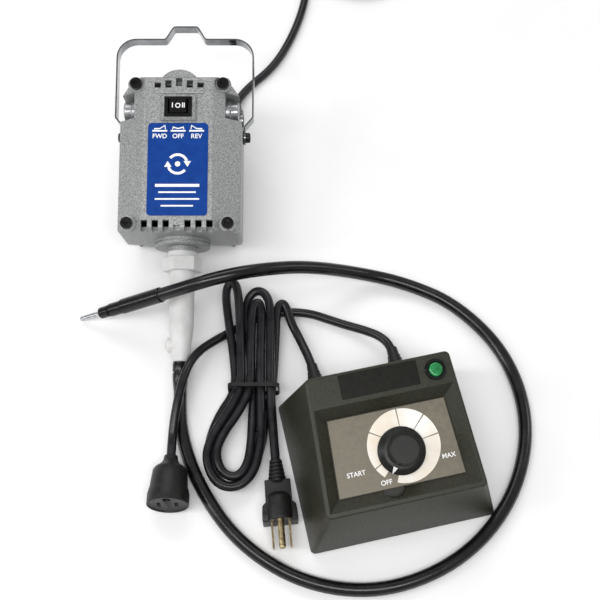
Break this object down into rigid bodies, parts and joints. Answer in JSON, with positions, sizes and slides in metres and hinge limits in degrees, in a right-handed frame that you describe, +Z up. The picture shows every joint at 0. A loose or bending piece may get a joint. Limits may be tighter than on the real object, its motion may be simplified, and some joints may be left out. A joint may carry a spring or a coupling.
{
  "type": "rotary tool with flex shaft",
  "caption": "Hang-up rotary tool: cast motor with rocker switch and wire-strip hanger, flexible drive shaft, and a sloped dial speed control, all with their cords laid out.",
  "frame": {"origin": "on the table below the middle of the motor and the control box", "axes": "+Z up from the table, +Y from the control box towards the hanger, +X to the right of a person facing the dial"},
  "size_m": [0.3484, 0.7001, 0.1147],
  "materials": {
    "casting": "fine sand-cast, painted grey",
    "black_steel": "black oxide",
    "bright_steel": "bright plated",
    "switch_plastic": "moulded black",
    "label": "printed blue",
    "shaft_steel": "ground",
    "lamination": "stacked sheet",
    "winding": "enamelled wire",
    "copper": "turned",
    "fan_plastic": "moulded",
    "carbon": "pressed carbon",
    "bearing_steel": "ground",
    "nylon": "light grey nylon",
    "brass": "machined",
    "sheath_rubber": "smooth black",
    "ferrule_black": "satin black",
    "cord_rubber": "matt black",
    "box_plastic": "fine texture, dark olive black",
    "panel": "printed taupe",
    "knob_plastic": "moulded black",
    "lens": "clear green",
    "board": "circuit board",
    "sink": "extruded",
    "capacitor": "dipped",
    "plug_rubber": "moulded black"
  },
  "bodies": {
    "frame": {"bail_screws": "black_steel", "base_cover": "box_plastic", "base_screws": "black_steel", "brush_caps": "switch_plastic", "brush_springs": "shaft_steel", "brush_tubes": "ferrule_black", "carbon_brushes": "carbon", "circuit_board": "board", "connector_set_screw": "brass", "control_housing": "box_plastic", "cord_boot": "plug_rubber", "cord_glands": "plug_rubber", "dial_nut": "bright_steel", "dial_plate": "panel", "end_bell": "casting", "field_coils": "winding", "field_stator": "lamination", "film_capacitor": "capacitor", "flex_sheath": "sheath_rubber", "front_housing": "casting", "hank_tie": "cord_rubber", "housing_screws": "black_steel", "label_plate": "label", "lamp_bezel": "switch_plastic", "lamp_lens": "lens", "lower_bearing": "bearing_steel", "motor_connector": "nylon", "motor_cord": "cord_rubber", "motor_cord_coil": "cord_rubber", "motor_plug": "plug_rubber", "motor_plug_prongs": "bright_steel", "name_plate": "knob_plastic", "output_cord": "cord_rubber", "potentiometer": "shaft_steel", "rear_housing": "casting", "receptacle_body": "plug_rubber", "receptacle_contacts": "brass", "rubber_feet": "plug_rubber", "sheath_motor_ferrule": "shaft_steel", "sheath_tip_ferrule": "ferrule_black", "supply_cord": "cord_rubber", "supply_cord_hank": "cord_rubber", "supply_plug": "plug_rubber", "supply_plug_prongs": "brass", "switch_body": "switch_plastic", "tip_rings": "ferrule_black", "triac_heat_sink": "sink", "upper_bearing": "bearing_steel"},
    "bail": {"hanger_bail": "bright_steel"},
    "rocker": {"switch_rocker": "switch_plastic"},
    "armature": {"armature_shaft": "shaft_steel", "armature_core": "lamination", "armature_windings": "winding", "commutator": "copper", "cooling_fan": "fan_plastic", "drive_coupling": "shaft_steel", "flex_core_end": "shaft_steel"},
    "flex_tip": {"flex_shaft_tip": "bright_steel"},
    "speed_dial": {"speed_knob": "knob_plastic", "dial_shaft": "shaft_steel"}
  },
  "joints": [
    {"name": "hanger_swing", "type": "hinge", "parent": "frame", "child": "bail", "pos_m": [-0.08875, 0.11283, 0.06333], "axis": [1, 0, 0], "range_deg": [-45, 135]},
    {"name": "switch_rock", "type": "hinge", "parent": "frame", "child": "rocker", "pos_m": [-0.08875, 0.10913, 0.10841], "axis": [0, 0.9563, 0.2924], "range_deg": [-12, 12]},
    {"name": "armature_spin", "type": "hinge", "parent": "frame", "child": "armature", "pos_m": [-0.08875, 0.0325, 0.03877], "axis": [0, -0.9563, -0.2924], "continuous": true},
    {"name": "tip_spin", "type": "hinge", "parent": "frame", "child": "flex_tip", "pos_m": [-0.1525, -0.0172, 0.01351], "axis": [-0.8489, -0.01, -0.5284], "continuous": true},
    {"name": "dial_turn", "type": "hinge", "parent": "frame", "child": "speed_dial", "pos_m": [0.07249, -0.14456, 0.06126], "axis": [-0.056, 0.2527, -0.9659], "range_deg": [0, 270]}
  ],
  "couplings": [
    {"joint": "tip_spin", "follows": "armature_spin", "ratio": 1}
  ]
}
